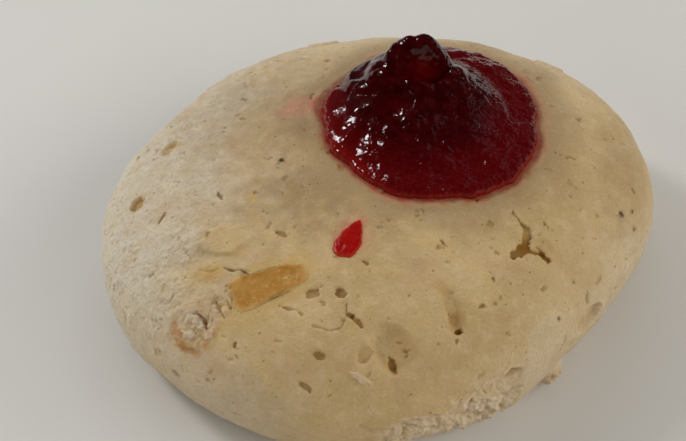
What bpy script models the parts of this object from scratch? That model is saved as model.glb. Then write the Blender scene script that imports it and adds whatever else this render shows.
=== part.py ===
"""Thick, soft strawberry cookie with a spooned dollop of jam and two bits of candied fruit.

Metres, +Z up. The cookie rests on the plane z = 0 with the origin under its middle, and
-Y is the side that faces the viewer.
"""

import math

import bmesh
import bpy
import numpy as np
from mathutils import Quaternion, Vector, noise

MM = 0.001

# Outer size of the baked dough
COOKIE_WIDTH = 70 * MM
COOKIE_DEPTH = 67.5 * MM
COOKIE_HEIGHT = 21 * MM
BELLY_HEIGHT = 8.5 * MM  # level where the side bulges furthest
FOOT_SHARE = 0.80  # radius of the flat underside, as a share of the outline
TOP_FULLNESS = 2.7  # above 2 flattens the top
SHOULDER_FULLNESS = 2.2  # above 2 squares the shoulder
OUTLINE_WAVES = (  # waves round the rim, share of the radius, bearing of a crest
    (2, 0.067, 37),
    (3, 0.0165, 27),
    (4, 0.013, 14),
    (5, 0.003, -11),
    (11, 0.002, 5),
)
DOUGH_LUMPS = (  # size of the lumps, height
    (17 * MM, 0.7 * MM),
    (6 * MM, 0.3 * MM),
    (2.2 * MM, 0.1 * MM),
)

# Shallow seat pressed into the top for the jam
JAM_CENTRE = (6.9 * MM, 8.9 * MM)
SEAT_RADIUS = 17 * MM
SEAT_DEPTH = 0.9 * MM

# Dents with sloping sides: x, y, length, width, turn, depth (mm and degrees)
DIMPLES = (
    (1.4, -28.2, 7.6, 5.2, -58, 1.1),
    (-1.9, -28.6, 2.8, 2.2, 70, 0.4),
    (8.8, -22.8, 6.8, 3.0, -67, 0.7),
    (20.9, -11.7, 3.4, 2.6, -35, 0.5),
    (27.4, -16.2, 4.4, 2.0, 50, 0.7),
    (28.1, -13.8, 2.0, 0.9, 62, 0.3),
    (-27.2, 5.6, 3.6, 2.0, 48, 0.7),
    (-21.5, -14.5, 6.0, 3.4, 10, 0.4),
    (8.0, -11.2, 2.4, 1.2, -80, 0.3),
)
# Burst bubbles with steep walls, in the same order of values
PITS = (
    (1.7, -29.7, 2.2, 1.0, -66, 1.3),
    (-8.3, -21.0, 2.1, 1.2, 5, 0.8),
    (-4.7, -21.1, 1.9, 1.3, -60, 1.0),
    (9.8, -25.2, 1.5, 1.0, 10, 0.8),
    (-12.1, -12.2, 2.1, 0.9, -30, 0.6),
    (-7.4, -28.7, 1.8, 1.1, -30, 0.7),
    (-9.0, -31.4, 2.4, 1.0, -55, 0.8),
    (-31.0, -3.4, 2.8, 2.0, 52, 1.1),
    (-17.6, -26.2, 1.2, 0.8, 70, 0.6),
    (8.0, -13.9, 1.6, 0.7, -45, 0.5),
    (-1.6, -17.2, 1.4, 0.8, -40, 0.5),
    (-20.0, -5.6, 1.7, 0.7, -60, 0.5),
    (-27.4, -7.2, 1.7, 0.7, 50, 0.5),
)
# Cracks: half width, depth, then the x and y of each bend (mm)
CRACKS = (
    (0.25, 0.8, ((17.2, -9.0), (17.5, -9.9), (18.2, -10.3), (18.7, -10.8))),
    (0.55, 1.5, ((18.6, -10.8), (18.7, -11.9), (18.6, -13.0))),
    (0.65, 1.3, ((18.4, -13.1), (17.8, -14.1), (17.4, -14.5))),
    (0.35, 1.2, ((18.8, -13.3), (19.9, -13.5), (20.8, -13.8))),
    (0.45, 0.9, ((-3.4, -24.3), (-2.7, -24.9), (-2.0, -25.8))),
    (0.35, 0.7, ((-22.6, -17.0), (-20.5, -16.5), (-17.6, -16.7), (-16.3, -17.2), (-15.5, -18.1))),
    (0.30, 0.6, ((-4.0, -22.8), (-4.0, -24.3), (-4.7, -25.6), (-6.0, -25.9), (-8.2, -25.2))),
    (0.30, 0.6, ((-12.2, -22.2), (-11.2, -22.9))),
    (0.30, 0.6, ((-10.1, -23.0), (-9.4, -23.7))),
    (0.35, 0.8, ((-22.5, -21.6), (-21.6, -22.3), (-20.9, -23.6))),
    (0.35, 0.7, ((-20.0, -21.1), (-19.0, -22.2), (-18.6, -23.4))),
)
# Flaking skin: x, y, length, width, turn, height of the flakes
FLAKES = (
    (-22.8, -23.4, 7.4, 6.0, -40, 0.9),
    (-19.4, -21.8, 4.0, 3.4, -30, 0.6),
    (-25.0, -13.5, 10.0, 7.0, 60, 0.3),
)
FLAKE_SIZE = 1.5 * MM

# Broken crust along the front rim: a shallow ledge, and a deeper one of rough crumb below it
BREAK_BEARINGS = (-93, -56)
BREAK_LEDGES = (  # level at its left and right end, how ragged its edge is, depth, relief
    (8.6 * MM, 11.6 * MM, 1.4 * MM, 0.6 * MM, 0.15 * MM),
    (7.8 * MM, 8.4 * MM, 1.2 * MM, 0.7 * MM, 0.8 * MM),
)
BREAK_SWELL = 1.7 * MM  # the broken side bulges this far beyond the rim above it
BREAK_FOOT = 1.0 * MM
CRUMB_SIZE = 1.5 * MM
CHUNK_BEARING = -43
CHUNK_LEVEL = 3.4 * MM
CHUNK_RADIUS = 2.2 * MM
CHUNK_HEIGHT = 2.0 * MM
CHUNK_ROUGHNESS = 0.5 * MM

# Dollop of jam: an uneven puddle with a mound, a ridge and a knob stacked on it
JAM_RADIUS = 14.7 * MM
JAM_OUTLINE_WAVES = (
    (1, 0.051, -53),
    (2, 0.050, 74),
    (3, 0.028, -58),
    (4, 0.010, -17),
    (5, 0.009, 27),
    (6, 0.005, 11),
    (13, 0.009, 10),
    (19, 0.005, 7),
)
PUDDLE_THICKNESS = 1.8 * MM
JAM_MOUNDS = (  # x, y, half width, half depth, height, fullness (mm), from the jam's middle
    (-1.6, 0.6, 9.6, 9.2, 2.5, 3.0),
    (-1.2, 2.8, 6.8, 5.8, 2.3, 2.6),
    (-6.9, 4.4, 4.9, 5.2, 2.1, 2.5),
    (3.9, 2.6, 3.6, 3.4, 1.1, 2.0),
    (-1.7, 4.7, 3.7, 3.2, 3.0, 3.0),
    (-0.9, 4.6, 2.4, 2.2, 0.9, 2.0),
    (-2.2, -6.2, 4.2, 2.8, 0.5, 2.0),
    (7.2, 8.4, 4.6, 3.6, 0.6, 2.0),
    (-7.8, -1.0, 3.2, 3.4, 0.7, 2.0),
    (5.2, -6.6, 4.2, 3.0, 0.4, 2.0),
)
JAM_HOLLOWS = (  # x, y, half width, half depth, depth, fullness (mm)
    (-0.8, 2.2, 3.3, 2.0, 2.1, 3.0),
    (-4.9, -2.7, 2.9, 2.3, 1.7, 2.6),
    (-9.0, 4.2, 1.5, 2.2, 0.6, 2.0),
)
JAM_LUMPS = ((4.2 * MM, 0.4 * MM), (1.8 * MM, 0.35 * MM))
TOUCHING_GAP = 0.3 * MM

# Bits of candied fruit set in the skin: middle, length, width, thickness, turn, rise
RED_BIT = {
    "x": -3.5 * MM,
    "y": -13.5 * MM,
    "length": 6.2 * MM,
    "width": 2.8 * MM,
    "thick": 2.4 * MM,
    "turn": 64,
    "rise": 0.25 * MM,
}
PEEL_BIT = {
    "x": -13.3 * MM,
    "y": -19.2 * MM,
    "length": 9.4 * MM,
    "width": 3.4 * MM,
    "thick": 1.8 * MM,
    "turn": 22,
    "rise": 0.1 * MM,
}

# Mesh density
COOKIE_SPHERE_LEVEL = 7
COOKIE_TRIANGLES = 9200
JAM_SPHERE_LEVEL = 6
JAM_TRIANGLES = 3000
FRUIT_SPHERE_LEVEL = 3


def smoothstep(low, high, value):
    t = np.clip((value - low) / (high - low), 0.0, 1.0)
    return t * t * (3 - 2 * t)


def lumps(points, size, seed):
    """Soft noise between about -1 and 1 with features of the given size."""
    shift = Vector((seed * 17.3, seed * 5.1, seed * 9.7))
    return np.array([noise.noise(Vector(p) / size + shift) for p in points])


def wavy(bearing, waves):
    """Outline radius round the rim, as a factor near 1."""
    factor = np.ones_like(bearing)
    for count, amount, crest in waves:
        factor = factor + amount * np.cos(count * (bearing - math.radians(crest)))
    return factor


def bun_profile():
    """Side view of the dough from the middle of the top, over the belly, to the middle
    of the underside: radius share, height, and share of the skin's area so far."""
    turn = np.linspace(0, math.pi / 2, 240)
    crown = np.sin(turn) ** (2 / TOP_FULLNESS)
    crown_height = BELLY_HEIGHT + (COOKIE_HEIGHT - BELLY_HEIGHT) * np.cos(turn) ** (2 / SHOULDER_FULLNESS)
    belly = FOOT_SHARE + (1 - FOOT_SHARE) * np.cos(turn[1:])
    belly_height = BELLY_HEIGHT * (1 - np.sin(turn[1:]))
    foot = np.linspace(FOOT_SHARE, 0, 60)[1:]
    share = np.concatenate([crown, belly, foot])
    height = np.concatenate([crown_height, belly_height, np.zeros_like(foot)])
    run = np.hypot(np.diff(share) * COOKIE_WIDTH / 2, np.diff(height))
    area = np.concatenate([[0], np.cumsum(run * (share[1:] + share[:-1]) / 2)])
    return share, height, area / area[-1]


def seat_dip(x, y):
    """How far the seat for the jam is pressed below the plain top."""
    reach = np.hypot(x - JAM_CENTRE[0], y - JAM_CENTRE[1]) / SEAT_RADIUS
    return SEAT_DEPTH * (1 - smoothstep(0.55, 1.1, reach))


def dough_form(directions):
    """Points of the plain bun for the unit directions of a sphere, evenly spread."""
    share, height, area = bun_profile()
    spot = (1 - directions[:, 2]) / 2
    bearing = np.arctan2(directions[:, 1], directions[:, 0])
    radius = np.interp(spot, area, share) * wavy(bearing, OUTLINE_WAVES)
    x = radius * np.cos(bearing) * COOKIE_WIDTH / 2
    y = radius * np.sin(bearing) * COOKIE_DEPTH / 2
    z = np.interp(spot, area, height)
    above = smoothstep(BELLY_HEIGHT, COOKIE_HEIGHT, z)
    return np.column_stack([x, y, z - seat_dip(x, y) * above])


def normals_of(mesh):
    normals = np.empty(len(mesh.vertices) * 3, np.float32)
    mesh.vertex_normals.foreach_get("vector", normals)
    return normals.reshape(-1, 3).astype(float)


def frame_on(points, normals, x, y, turn):
    """The skin's point above (x, y), its normal, and two axes along the skin."""
    away = np.hypot(points[:, 0] - x, points[:, 1] - y)
    away[points[:, 2] < BELLY_HEIGHT] = np.inf
    nearest = int(np.argmin(away))
    normal = normals[nearest]
    along = np.array([math.cos(math.radians(turn)), math.sin(math.radians(turn)), 0.0])
    along -= normal * (along @ normal)
    along /= np.linalg.norm(along)
    return points[nearest], normal, along, np.cross(normal, along)


def hole(points, normals, place, steepness):
    """Depth at each point of one dimple or pit."""
    x, y, length, width, turn, depth = place
    centre, _, along, across = frame_on(points, normals, x * MM, y * MM, turn)
    offset = points - centre
    reach = np.hypot(offset @ along / (length / 2 * MM), offset @ across / (width / 2 * MM))
    near = np.linalg.norm(offset, axis=1) < length * MM
    reach[near] += 0.3 * lumps(points[near], 1.3 * MM, seed=3)
    return near * depth * MM * (1 - smoothstep(1 - steepness, 1.0, reach))


def crack(points, half_width, depth, bends):
    """Depth at each point of a crack that follows the given bends across the top."""
    plan = points[:, :2] / MM
    nearest = np.full(len(points), np.inf)
    for start, end in zip(bends, bends[1:]):
        start, end = np.array(start), np.array(end)
        run = end - start
        t = np.clip((plan - start) @ run / (run @ run), 0, 1)
        nearest = np.minimum(nearest, np.linalg.norm(plan - start - t[:, None] * run, axis=1))
    wall = 1 - smoothstep(half_width * 0.5, half_width * 1.3, nearest)
    return depth * MM * wall * (points[:, 2] > BELLY_HEIGHT)


def flakes(points, normals, place):
    """Torn, lifted skin: rough relief that fades out at the patch's edge."""
    x, y, length, width, turn, height = place
    centre, _, along, across = frame_on(points, normals, x * MM, y * MM, turn)
    offset = points - centre
    reach = np.hypot(offset @ along / (length / 2 * MM), offset @ across / (width / 2 * MM))
    near = np.linalg.norm(offset, axis=1) < length * MM
    rough = np.zeros(len(points))
    rough[near] = height * MM * lumps(points[near], FLAKE_SIZE, seed=7)
    return rough * (1 - smoothstep(0.5, 1.1, reach))


def broken_rim(points, bearing):
    """Relief of the crumb where the crust has broken away along the front rim."""
    first, last = (math.radians(b) for b in BREAK_BEARINGS)
    ragged = lumps(points, 2.4 * MM, seed=11)
    crumb = lumps(points, CRUMB_SIZE, seed=12)
    share = np.clip((bearing - first) / (last - first), 0, 1)
    ends = smoothstep(first, first + 0.12, bearing + 0.05 * ragged)
    ends = ends * (1 - smoothstep(last - 0.12, last, bearing + 0.05 * ragged))
    foot = smoothstep(0.2 * MM, BREAK_FOOT, points[:, 2])
    rise = BREAK_SWELL * (1 - smoothstep(4 * MM, 10.5 * MM, points[:, 2]))
    for left, right, wander, depth, relief in BREAK_LEDGES:
        level = left + (right - left) * share + wander * ragged
        below = 1 - smoothstep(level - 0.5 * MM, level, points[:, 2])
        rise += below * (relief * crumb - depth)
    return rise * ends * foot


def rim_chunk(points):
    """Lump of crumb that sticks out under the rim at the front right."""
    bearing = math.radians(CHUNK_BEARING)
    outline = wavy(np.array([bearing]), OUTLINE_WAVES)[0] * 0.95
    centre = np.array([
        math.cos(bearing) * COOKIE_WIDTH / 2 * outline,
        math.sin(bearing) * COOKIE_DEPTH / 2 * outline,
        CHUNK_LEVEL,
    ])
    rough = lumps(points, CRUMB_SIZE, seed=14)
    reach = np.linalg.norm(points - centre, axis=1) / CHUNK_RADIUS + 0.25 * rough
    return (CHUNK_HEIGHT + CHUNK_ROUGHNESS * rough) * (1 - smoothstep(0.5, 1.2, reach))


def dough_relief(points, normals):
    """Height of the relief over the plain bun, along its normals."""
    rise = np.zeros(len(points))
    for seed, (size, height) in enumerate(DOUGH_LUMPS):
        rise += height * lumps(points, size, seed)
    from_seat = np.hypot(points[:, 0] - JAM_CENTRE[0], points[:, 1] - JAM_CENTRE[1]) / SEAT_RADIUS
    rise *= np.where(points[:, 2] > BELLY_HEIGHT, smoothstep(0.97, 1.2, from_seat), 1.0)
    for place in DIMPLES:
        rise -= hole(points, normals, place, steepness=0.9)
    for place in PITS:
        rise -= hole(points, normals, place, steepness=0.45)
    for half_width, depth, bends in CRACKS:
        rise -= crack(points, half_width, depth, bends)
    for place in FLAKES:
        rise += flakes(points, normals, place)
    bearing = np.arctan2(points[:, 1] / COOKIE_DEPTH, points[:, 0] / COOKIE_WIDTH)
    rise += broken_rim(points, bearing) + rim_chunk(points)
    return rise * smoothstep(0.0, 1.2 * MM, points[:, 2])


def sphere_object(name, level, collection):
    """An icosphere object of radius 1, and the directions of its points."""
    shape = bmesh.new()
    bmesh.ops.create_icosphere(shape, subdivisions=level, radius=1.0)
    mesh = bpy.data.meshes.new(name)
    shape.to_mesh(mesh)
    shape.free()
    made = bpy.data.objects.new(name, mesh)
    collection.objects.link(made)
    return made, points_of(mesh)


def points_of(mesh):
    points = np.empty(len(mesh.vertices) * 3, np.float32)
    mesh.vertices.foreach_get("co", points)
    return points.reshape(-1, 3).astype(float)


def set_points(mesh, points):
    mesh.vertices.foreach_set("co", np.ascontiguousarray(points, np.float32).ravel())
    mesh.update()


def keep_triangles(made, count):
    """Applies a Decimate modifier that leaves the given number of triangles."""
    modifier = made.modifiers.new("Fewer faces", "DECIMATE")
    modifier.ratio = count / len(made.data.polygons)
    apply_modifiers(made)


def apply_modifiers(made):
    graph = bpy.context.evaluated_depsgraph_get()
    dense = made.data
    made.data = bpy.data.meshes.new_from_object(made.evaluated_get(graph))
    made.modifiers.clear()
    bpy.data.meshes.remove(dense)
    made.data.name = made.name


def flat_foot(made, level=0.05 * MM):
    """Cuts the underside off level and closes it with one face on the floor."""
    shape = bmesh.new()
    shape.from_mesh(made.data)
    everything = shape.verts[:] + shape.edges[:] + shape.faces[:]
    cut = bmesh.ops.bisect_plane(
        shape, geom=everything, plane_co=(0, 0, level), plane_no=(0, 0, 1), clear_inner=True
    )
    rim = [edge for edge in cut["geom_cut"] if isinstance(edge, bmesh.types.BMEdge)]
    bmesh.ops.contextual_create(shape, geom=rim)
    for vertex in shape.verts:
        vertex.co.z -= level
    bmesh.ops.recalc_face_normals(shape, faces=shape.faces)
    shape.to_mesh(made.data)
    shape.free()


def make_cookie(collection):
    made, directions = sphere_object("cookie", COOKIE_SPHERE_LEVEL, collection)
    points = dough_form(directions)
    set_points(made.data, points)
    normals = normals_of(made.data)
    points = points + normals * dough_relief(points, normals)[:, None]
    points[:, 2] = np.maximum(points[:, 2], 0.0)
    set_points(made.data, points)
    keep_triangles(made, COOKIE_TRIANGLES)
    flat_foot(made)
    return made


def top_of_dough(x, y):
    """Height of the plain top of the dough above each (x, y)."""
    share, height, _ = bun_profile()
    crown = height >= BELLY_HEIGHT
    bearing = np.arctan2(y / COOKIE_DEPTH, x / COOKIE_WIDTH)
    reach = np.hypot(x / (COOKIE_WIDTH / 2), y / (COOKIE_DEPTH / 2)) / wavy(bearing, OUTLINE_WAVES)
    plain = np.interp(reach, share[crown], height[crown])
    return plain - seat_dip(x, y) * smoothstep(BELLY_HEIGHT, COOKIE_HEIGHT, plain)


def dome(x, y, place):
    """A dome of the listed height at its middle, 0 at its edge; more fullness, steeper sides."""
    middle_x, middle_y, half_width, half_depth, height, fullness = place
    reach = np.hypot((x / MM - middle_x) / half_width, (y / MM - middle_y) / half_depth)
    return height * MM * (1 - np.clip(reach, 0, 1) ** fullness)


def jam_height(x, y):
    """Height of the dollop over its puddle, at places measured from the jam's middle."""
    rise = sum(dome(x, y, place) for place in JAM_MOUNDS)
    return rise - sum(dome(x, y, place) for place in JAM_HOLLOWS)


def make_jam(collection):
    made, directions = sphere_object("strawberry_jam", JAM_SPHERE_LEVEL, collection)
    bearing = np.arctan2(directions[:, 1], directions[:, 0])
    spread = np.hypot(directions[:, 0], directions[:, 1])
    radius = JAM_RADIUS * spread * wavy(bearing, JAM_OUTLINE_WAVES)
    x = radius * np.cos(bearing)
    y = radius * np.sin(bearing)
    floor = top_of_dough(x + JAM_CENTRE[0], y + JAM_CENTRE[1]) + TOUCHING_GAP
    above = np.clip(directions[:, 2], 0, 1)
    thickness = PUDDLE_THICKNESS * above**0.5
    flat = np.column_stack([x, y, np.zeros_like(x)])
    uneven = sum(
        height * lumps(flat, size, seed + 20) for seed, (size, height) in enumerate(JAM_LUMPS)
    )
    thickness += uneven * smoothstep(0.15, 0.5, above)
    thickness += jam_height(x, y) * smoothstep(0.0, 0.3, above)
    thickness = np.where(above > 0, np.maximum(thickness, 0), 0)
    points = np.column_stack([x + JAM_CENTRE[0], y + JAM_CENTRE[1], floor + thickness])
    set_points(made.data, points)
    keep_triangles(made, JAM_TRIANGLES)
    return made


def fruit_form(directions, bit, grow=0.0):
    """Points of a bit of candied fruit: a rounded wedge, blunt behind and pointed ahead."""
    along, across, up = directions.T
    square = 0.75  # below 1 squares the sides
    along = np.sign(along) * np.abs(along) ** square
    up = np.sign(up) * np.abs(up) ** square
    taper = 1 - 0.35 * along * np.abs(along)
    return np.column_stack([
        along * (bit["length"] / 2 + grow),
        across * taper * (bit["width"] / 2 + grow),
        up * (bit["thick"] / 2 + grow),
    ])


def slope_at(x, y, step=0.5 * MM):
    """Upward normal of the plain top of the dough."""
    spots = np.array([[x + step, y], [x - step, y], [x, y + step], [x, y - step]])
    east, west, north, south = top_of_dough(spots[:, 0], spots[:, 1])
    return Vector((west - east, south - north, 2 * step)).normalized()


def make_fruit(name, bit, collection, grow=0.0):
    made, directions = sphere_object(name, FRUIT_SPHERE_LEVEL, collection)
    set_points(made.data, fruit_form(directions, bit, grow))
    normal = slope_at(bit["x"], bit["y"])
    top = float(top_of_dough(np.array([bit["x"]]), np.array([bit["y"]]))[0])
    middle = Vector((bit["x"], bit["y"], top)) + normal * (bit["rise"] - bit["thick"] / 2)
    made.rotation_mode = "QUATERNION"
    lean = Vector((0, 0, 1)).rotation_difference(normal)
    made.rotation_quaternion = lean @ Quaternion((0, 0, 1), math.radians(bit["turn"]))
    made.location = middle
    return made


def cut_pocket(cookie, cutter):
    """Sinks a pocket for a bit of fruit into the dough."""
    bpy.context.view_layer.update()
    modifier = cookie.modifiers.new("Pocket", "BOOLEAN")
    modifier.operation = "DIFFERENCE"
    modifier.solver = "EXACT"
    modifier.object = cutter
    apply_modifiers(cookie)


def place_in_mesh(made):
    """Moves an object's own placement into its mesh."""
    bpy.context.view_layer.update()
    made.data.transform(made.matrix_world)
    made.location = (0, 0, 0)
    made.rotation_quaternion = (1, 0, 0, 0)


def centre_on_origin(objects):
    """Moves every mesh sideways, so that the origin is under the middle of the whole."""
    everything = np.concatenate([points_of(made.data) for made in objects])
    middle = (everything.min(axis=0) + everything.max(axis=0)) / 2
    for made in objects:
        set_points(made.data, points_of(made.data) - np.array([middle[0], middle[1], 0.0]))


def finish_with(made, name, colour, roughness, coat=0.0, subsurface=0.0):
    material = bpy.data.materials.new(name)
    material.use_nodes = True
    shader = material.node_tree.nodes["Principled BSDF"]
    shader.inputs["Base Color"].default_value = (*colour, 1.0)
    shader.inputs["Roughness"].default_value = roughness
    shader.inputs["Coat Weight"].default_value = coat
    shader.inputs["Subsurface Weight"].default_value = subsurface
    made.data.materials.clear()
    made.data.materials.append(material)
    made.data.shade_smooth()
    made.data.set_sharp_from_angle(angle=math.radians(50))


def main():
    for old in list(bpy.data.objects):
        bpy.data.objects.remove(old)
    cookie_parts = bpy.data.collections.new("strawberry_cookie")
    cutters = bpy.data.collections.new("cutters")
    for collection in (cookie_parts, cutters):
        bpy.context.scene.collection.children.link(collection)

    cookie = make_cookie(cookie_parts)
    jam = make_jam(cookie_parts)
    red = make_fruit("candied_fruit_red", RED_BIT, cookie_parts)
    peel = make_fruit("candied_peel_orange", PEEL_BIT, cookie_parts)
    for bit in (RED_BIT, PEEL_BIT):
        cutter = make_fruit("pocket", bit, cutters, grow=TOUCHING_GAP)
        cut_pocket(cookie, cutter)
        bpy.data.objects.remove(cutter)
    for made in (red, peel):
        place_in_mesh(made)
    centre_on_origin((cookie, jam, red, peel))

    finish_with(cookie, "baked dough", (0.52, 0.42, 0.27), 0.62, subsurface=0.1)
    finish_with(jam, "strawberry jam", (0.10, 0.004, 0.008), 0.12, coat=0.5)
    finish_with(red, "red candied fruit", (0.50, 0.010, 0.006), 0.25)
    finish_with(peel, "orange candied peel", (0.50, 0.25, 0.05), 0.40)


main()
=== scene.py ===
"""Looks of the strawberry cookie: finely shaped dough, wet jam and candied fruit on a pale table.

Metres, +Z up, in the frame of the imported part. The shapes follow the part's own named sizes,
with the pores, crumb and wet relief added, and every piece stands in for its plain solid.
"""

import itertools
import math

import bmesh
import bpy
import numpy as np
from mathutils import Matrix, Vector, kdtree, noise
from mathutils.bvhtree import BVHTree

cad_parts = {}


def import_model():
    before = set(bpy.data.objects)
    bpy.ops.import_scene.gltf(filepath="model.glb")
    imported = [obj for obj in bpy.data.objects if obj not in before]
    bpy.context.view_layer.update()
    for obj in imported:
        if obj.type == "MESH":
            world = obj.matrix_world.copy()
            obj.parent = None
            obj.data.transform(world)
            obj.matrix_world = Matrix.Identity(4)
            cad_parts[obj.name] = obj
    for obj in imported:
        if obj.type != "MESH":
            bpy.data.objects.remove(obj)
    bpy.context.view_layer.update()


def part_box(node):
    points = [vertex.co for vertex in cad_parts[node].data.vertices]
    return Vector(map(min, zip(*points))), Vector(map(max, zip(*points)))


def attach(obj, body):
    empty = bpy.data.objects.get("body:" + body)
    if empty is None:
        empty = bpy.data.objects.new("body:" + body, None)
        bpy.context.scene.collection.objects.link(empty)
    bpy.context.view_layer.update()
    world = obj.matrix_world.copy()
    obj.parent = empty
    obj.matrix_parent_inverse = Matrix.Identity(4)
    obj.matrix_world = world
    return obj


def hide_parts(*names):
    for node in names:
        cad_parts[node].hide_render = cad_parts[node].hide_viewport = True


MM = 0.001

# Camera, fitted to the outline of the cookie in the photo
CAMERA_ELEVATION = 47
CAMERA_LENS = 110
CAMERA_DISTANCE = 0.2765
CAMERA_AIM = (-4.92 * MM, 0.5 * MM, 9.41 * MM)

# Lights: bearing and elevation, distance, width and height in metres, watts, colour, mirrored
LIGHTS = (
    ("window", 150, 38, 0.70, 0.13, 0.13, 1.3, (1.0, 1.0, 1.0), True),
    ("wall back left", 135, 22, 0.90, 0.7, 0.5, 2.45, (1.0, 1.0, 1.0), False),
    ("wall left", 190, 22, 0.90, 0.7, 0.5, 0.6, (1.0, 0.97, 0.92), False),
    ("wall front left", 230, 22, 0.90, 0.7, 0.5, 1.3, (1.0, 0.97, 0.90), False),
    ("wall right", 0, 24, 0.90, 0.7, 0.5, 2.95, (1.0, 0.96, 0.88), False),
    ("wall front right", 315, 40, 0.90, 0.7, 0.5, 2.25, (1.0, 0.96, 0.88), False),
    ("wall back", 90, 36, 0.90, 0.7, 0.5, 1.5, (1.0, 1.0, 1.0), False),
    ("far window", 35, 36, 0.90, 0.5, 0.4, 0.16, (1.0, 0.85, 0.95), True),
    ("back wall", 95, 16, 0.90, 1.4, 0.6, 0.09, (1.0, 0.80, 0.90), True),
)
ROOM_COLOUR = (1.0, 0.98, 0.96, 1.0)
ROOM_STRENGTH = 0.08

# Outer size of the baked dough
COOKIE_WIDTH = 70 * MM
COOKIE_DEPTH = 67.5 * MM
COOKIE_HEIGHT = 21 * MM
BELLY_HEIGHT = 8.5 * MM  # level where the side bulges furthest
FOOT_SHARE = 0.80  # radius of the flat underside, as a share of the outline
TOP_FULLNESS = 2.7  # above 2 flattens the top
SHOULDER_FULLNESS = 2.2  # above 2 squares the shoulder
OUTLINE_WAVES = (  # waves round the rim, share of the radius, bearing of a crest
    (2, 0.067, 37), (3, 0.0165, 27), (4, 0.013, 14),
    (5, 0.003, -11), (11, 0.002, 5),
)
DOUGH_LUMPS = (  # size of the lumps, height
    (17 * MM, 0.7 * MM),
    (6 * MM, 0.3 * MM),
    (2.2 * MM, 0.1 * MM),
)
SKIN_GRAIN = (  # finer relief of the baked skin: size, height
    (1.1 * MM, 0.03 * MM),
    (0.55 * MM, 0.02 * MM),
)

# Shallow seat pressed into the top for the jam, with a low dough ridge round it
JAM_CENTRE = (6.9 * MM, 8.9 * MM)
SEAT_RADIUS = 17 * MM
SEAT_DEPTH = 0.9 * MM
SEAT_RIDGE = 0.3 * MM

# Dents: x, y, length, width, turn, depth (mm and degrees), steepness (1 is a soft bowl), tan (a floor
# tint that is partly painted shade)
DIMPLES = (
    (1.6, -28.0, 8.4, 5.6, -58, 1.05, 0.45, 0.08),
    (-1.9, -28.6, 2.8, 2.2, 70, 0.5, 0.4, 0.3),
    (8.8, -22.8, 7.2, 2.6, -67, 0.5, 0.6, 0.3),
    (9.3, -24.4, 3.6, 2.4, -80, 0.4, 0.4, 0.6),
    (20.9, -12.6, 3.4, 2.8, -35, 0.3, 0.6, 0.25),
    (27.6, -16.9, 5.6, 4.2, 50, 1.1, 0.3, 0.2),
    (28.1, -13.6, 2.0, 0.9, 62, 0.3, 0.6, 0.2),
    (-27.2, 5.6, 3.8, 2.0, 48, 0.6, 0.5, 0.0),
    (-21.5, -14.5, 6.0, 3.4, 10, 0.3, 0.9, 0.0),
    (8.0, -11.2, 2.4, 1.2, -80, 0.2, 0.9, 0.4),
    (16.2, -27.2, 4.0, 1.6, 25, 0.8, 0.4, 1.0),
)
# Burst bubbles with steep walls, in the same order of values, but browned
PITS = (
    (1.7, -29.7, 2.6, 1.2, -66, 0.5, 0.3, 0.7),
    (-8.3, -21.0, 2.3, 1.4, 5, 0.3, 0.3, 0.55),
    (-4.7, -21.1, 1.9, 1.4, -60, 0.4, 0.3, 0.7),
    (9.8, -25.2, 1.2, 0.8, 10, 0.4, 0.3, 1.0),
    (-12.1, -12.2, 2.1, 0.9, -30, 0.25, 0.4, 0.6),
    (-7.4, -28.7, 1.8, 1.1, -30, 0.3, 0.3, 0.6),
    (-9.0, -31.4, 2.4, 0.8, -55, 0.35, 0.3, 0.5),
    (-31.0, -3.4, 2.8, 1.9, 52, 0.6, 0.4, 0.2),
    (-17.6, -26.2, 1.0, 0.6, 70, 0.25, 0.3, 0.6),
    (8.0, -13.9, 1.4, 0.5, -45, 0.25, 0.4, 0.5),
    (-1.6, -17.2, 1.3, 0.6, -40, 0.25, 0.4, 0.6),
    (-20.0, -5.6, 1.7, 0.7, -60, 0.3, 0.4, 0.5),
    (-27.4, -7.2, 1.9, 0.6, 50, 0.3, 0.4, 0.3),
    (-3.6, -24.1, 1.5, 0.8, -20, 0.3, 0.4, 0.7),
    (12.4, -21.9, 0.9, 0.6, 30, 0.25, 0.4, 0.6),
)
# How far the edges of dimples, pits and plates stray, as a share of half their width
DIMPLE_RAGGED = 0.08
PIT_RAGGED = 0.35
PLATE_RAGGED = 0.4
# Thin plates of skin that stand up: x, y, length, width, turn, height (mm and degrees), frosting
PLATES = (
    (-19.0, -12.7, 6.4, 5.0, 10, 0.34, 0.15),
    (-19.2, -19.6, 4.8, 2.2, -70, 0.14, 0.1),
    (-7.2, 28.3, 4.2, 2.2, 10, 0.34, 0.2),
    (24.1, 24.5, 4.4, 2.4, -48, 0.35, 0.0),
    (-2.4, -31.0, 3.0, 1.0, -40, 0.25, 0.35),
    (-23.6, -24.0, 4.4, 2.0, -40, 0.25, 0.0),
    (-22.3, -22.7, 2.4, 1.5, -60, 0.26, 0.55),
    (-20.9, -24.3, 1.8, 1.3, 20, 0.26, 0.4),
    (-23.2, -23.8, 1.8, 1.2, -10, 0.24, 0.4),
)
# Burnt specks: x, y, radius (mm)
SPECKS = (
    (-12.4, 0.0, 0.42), (31.4, -4.0, 0.36), (32.9, -2.8, 0.28), (33.3, -4.5, 0.28),
    (24.4, -15.6, 0.25), (0.1, -11.4, 0.24), (22.6, -20.0, 0.24), (10.9, 24.6, 0.22),
)
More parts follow.
